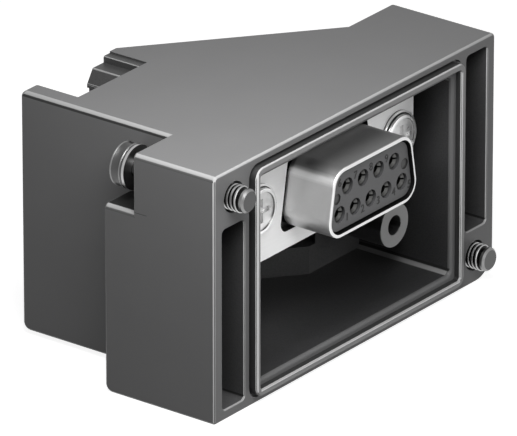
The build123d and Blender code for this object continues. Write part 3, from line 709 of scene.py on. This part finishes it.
def thread_ridge(bm, centre, start, end):
    """Adds the ridge of a screw thread round an axis along Y."""
    turns = (end - start) / thread_pitch
    steps = round(turns * ridge_steps)
    corners = [
        (thread_root - ridge_sink, start - ridge_half_width),
        (thread_crest, start - crest_half_width),
        (thread_crest, start + crest_half_width),
        (thread_root - ridge_sink, start + ridge_half_width),
    ]
    kept = set(bm.faces)
    points = [bm.verts.new((centre[0] + radius, depth, centre[1])) for radius, depth in corners]
    section = bm.faces.new(points)
    bmesh.ops.spin(
        bm,
        geom=[section, *section.edges, *section.verts],
        cent=(centre[0], 0, centre[1]),
        axis=(0, 1, 0),
        dvec=(0, (end - start) / steps, 0),
        angle=2 * math.pi * turns,
        steps=steps,
    )
    bmesh.ops.holes_fill(bm, edges=[edge for edge in bm.edges if edge.is_boundary], sides=0)
    bmesh.ops.recalc_face_normals(bm, faces=[face for face in bm.faces if face not in kept])


def cut_cross(piece, centre, depth):
    """Cuts a cross recess into the end of a screw head that faces along +Y."""
    cutters = []
    for width, height in (recess_size, recess_size[::-1]):
        bm = bmesh.new()
        bmesh.ops.create_cube(bm, size=1.0)
        bmesh.ops.scale(bm, verts=bm.verts, vec=(width, 2 * recess_depth, height))
        bmesh.ops.translate(bm, verts=bm.verts, vec=(centre[0], depth, centre[1]))
        cutter = collect("recess_cutter", bm, natural_nylon)
        cutters.append(cutter)
        cut = piece.modifiers.new("recess", "BOOLEAN")
        cut.object = cutter
        cut.operation = "DIFFERENCE"
    bpy.context.view_layer.update()
    carved = bpy.data.meshes.new_from_object(piece.evaluated_get(bpy.context.evaluated_depsgraph_get()))
    for cutter in [*cutters, piece]:
        bpy.data.objects.remove(cutter)
    return carved


natural_nylon = moulded_plastic("natural_nylon", nylon_white, 0.45, nylon_grain, nylon_grain_depth)
dull_steel = steel("dull_screw_steel", screw_grey, 0.3, turned_grain)
for corner in ("upper", "lower"):
    low, high = (Vector(end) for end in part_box(f"captive_screw_{corner}"))
    centre = ((low.x + high.x) / 2, (low.z + high.z) / 2)
    head_radius = (high.x - low.x) / 2
    end_radius = head_radius - head_end_step
    tip, head_end = low.y, high.y
    head_base = head_end - head_height
    thread_start = tip + tip_length
    thread_end = tip + thread_length
    profile = [
        (0, tip),
        (tip_radius - tip_chamfer, tip),
        (tip_radius, tip + tip_chamfer),
        (tip_radius, thread_start - tip_slope),
        (thread_root, thread_start),
        (thread_root, thread_end),
        (neck_radius, thread_end),
        (neck_radius, head_base),
        (head_radius - head_chamfer, head_base),
        (head_radius, head_base + head_chamfer),
        (head_radius, head_base + head_rim_height),
        (head_radius - head_groove, head_base + 2 * head_rim_height),
        (head_radius - head_groove, head_end - 2 * head_rim_height),
        (end_radius, head_end - head_rim_height),
        (end_radius, head_end - head_chamfer),
        (head_radius - head_end_slope, head_end),
        (0, head_end),
    ]
    blank = collect(f"screw_blank_{corner}", lathe(profile, centre), dull_steel)
    shape = bmesh.new()
    shape.from_mesh(cut_cross(blank, centre, head_end))
    thread_ridge(shape, centre, thread_start + ridge_lead, thread_end - ridge_end_gap)
    tip_end = thread_start - tip_band_gap
    # Painted light on the turning: a lighter tip side and chamfer, painted highlights on the thread crests
    # and head rim, and painted shade in the thread roots.
    screw_bands = [
        (tip_radius - tip_chamfer, 2 * tip_radius, -beyond, tip + tip_chamfer, tip_chamfer_light),
        (tip_radius - tip_chamfer, 2 * tip_radius, tip + tip_chamfer, tip_end, tip_side_light),
        (0, ridge_foot, tip_end, thread_end, root_shade),
        (ridge_foot, 2 * tip_radius, tip_end, thread_end, crest_highlight),
        (head_radius - head_band, beyond, -beyond, beyond, head_rim_light),
    ]
    screw_steel = turned_metal(f"turned_screw_{corner}", screw_grey, 0.33, centre, screw_bands)
    screw = collect(f"threaded_screw_{corner}", shape, screw_steel)
    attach(screw, f"screw_{corner}")
    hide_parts(f"captive_screw_{corner}")
    finish(f"captive_screw_{corner}", dull_steel)
    # The washer's front rim carries a painted highlight; the rest of it is painted dark as painted shade.
    washer_shade = (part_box(f"screw_washer_{corner}")[0][1] + washer_highlight_depth, screw_grey)
    washer_steel = steel(f"washer_steel_{corner}", washer_highlight_grey, 0.3, steel_grain, back=washer_shade)
    finish(f"screw_washer_{corner}", washer_steel)
    finish(f"retaining_ring_{corner}", natural_nylon)

# Rear cover, its gasket and screws
# A flush moulded cover closes the slanted opening, over a thin rubber gasket.

cover_finish = moulded_plastic("cover_nylon", housing_grey, 0.45, housing_grain, housing_grain_depth)
finish("rear_cover", cover_finish)
finish("cover_gasket", plain_rubber)
finish("cover_screws", zinc)

# Cable gland
# A black nylon gland: body with lock nut, rubber seal, slip ring and ribbed nut.

gland_black = (0.03, 0.03, 0.032)
gland_grain = 0.14 * millimetre
gland_grain_depth = 0.006 * millimetre

gland_finish = moulded_plastic("gland_nylon", gland_black, 0.4, gland_grain, gland_grain_depth)
for piece in ("gland_body", "gland_lock_nut", "gland_nut"):
    finish(piece, gland_finish)
finish("cable_seal", plain_rubber)
finish("clamp_ring", natural_nylon)

# Floor and studio
# A plain white floor under soft light: a softbox close above the left side and a large one in front.
# The floor and the background are white to the camera and in reflections, and keep the part's shadow.

floor_size = 4.0
floor_height = cad_box[0][2]
floor_bounce = 0.04
floor_shown = 0.5
floor_glow = 0.88
ambient = 0.09


def seen_directly(nodes, links):
    """1 for what the camera, a reflection or a clear surface sees, 0 for other light."""
    path = nodes.new("ShaderNodeLightPath")
    glossy = arithmetic(nodes, links, "MAXIMUM", path.outputs["Is Camera Ray"], path.outputs["Is Glossy Ray"])
    return arithmetic(nodes, links, "MAXIMUM", glossy, path.outputs["Is Transmission Ray"])


floor_paint, nodes, links, shader = node_material("pale_floor")
shader.inputs["Roughness"].default_value = 0.9
shader.inputs["Emission Color"].default_value = (1, 1, 1, 1)
shown = seen_directly(nodes, links)
tones = [(tone, tone, tone) for tone in (floor_bounce, floor_shown)]
links.new(blended(nodes, links, shown, *tones), shader.inputs["Base Color"])
links.new(spread(nodes, links, shown, 0.0, floor_glow, 0.0, 1.0), shader.inputs["Emission Strength"])

bm = bmesh.new()
bmesh.ops.create_grid(bm, x_segments=1, y_segments=1, size=floor_size / 2)
bmesh.ops.translate(bm, verts=bm.verts, vec=(0, 0, floor_height))
floor = collect("floor", bm, floor_paint)


def softbox(name, place, aim, size, watts):
    """Square area light at a place, looking at an aim, hidden from the camera."""
    light = bpy.data.lights.new(name, "AREA")
    light.size = size * millimetre
    light.energy = watts
    lamp = bpy.data.objects.new(name, light)
    lamp.location = Vector(place) * millimetre
    lamp.rotation_euler = (Vector(place) - Vector(aim)).to_track_quat("Z", "Y").to_euler()
    lamp.visible_camera = False
    bpy.context.scene.collection.objects.link(lamp)


softbox("left_softbox", (-38, -18, 66), (-5, 8, 5), 55, 0.097)
softbox("front_softbox", (60, -480, 60), (0, 0, 0), 300, 0.75)

world = bpy.data.worlds.new("studio")
bpy.context.scene.world = world
world.use_nodes = True
nodes, links = world.node_tree.nodes, world.node_tree.links
background = nodes["Background"]
background.inputs["Color"].default_value = (1, 1, 1, 1)
shown = seen_directly(nodes, links)
links.new(spread(nodes, links, shown, ambient, 1.0, 0.0, 1.0), background.inputs["Strength"])

# Camera
# A long lens from in front of the left side and above, as the photograph was taken.

view_turn = math.radians(52.743)
view_tilt = math.radians(23.753)
view_distance = 1.0525
aim = Vector((-1.355, 12.165, -1.763)) * millimetre
forward = Vector(
    (
        math.sin(view_turn) * math.cos(view_tilt),
        math.cos(view_turn) * math.cos(view_tilt),
        -math.sin(view_tilt),
    )
)
lens = bpy.data.cameras.new("camera")
lens.sensor_width = 36
lens.lens = 681.0
lens.clip_start = 0.1
camera = bpy.data.objects.new("camera", lens)
camera.location = aim - forward * view_distance
camera.rotation_euler = forward.to_track_quat("-Z", "Y").to_euler()
bpy.context.scene.collection.objects.link(camera)
bpy.context.scene.camera = camera
bpy.context.scene.view_settings.view_transform = "Standard"
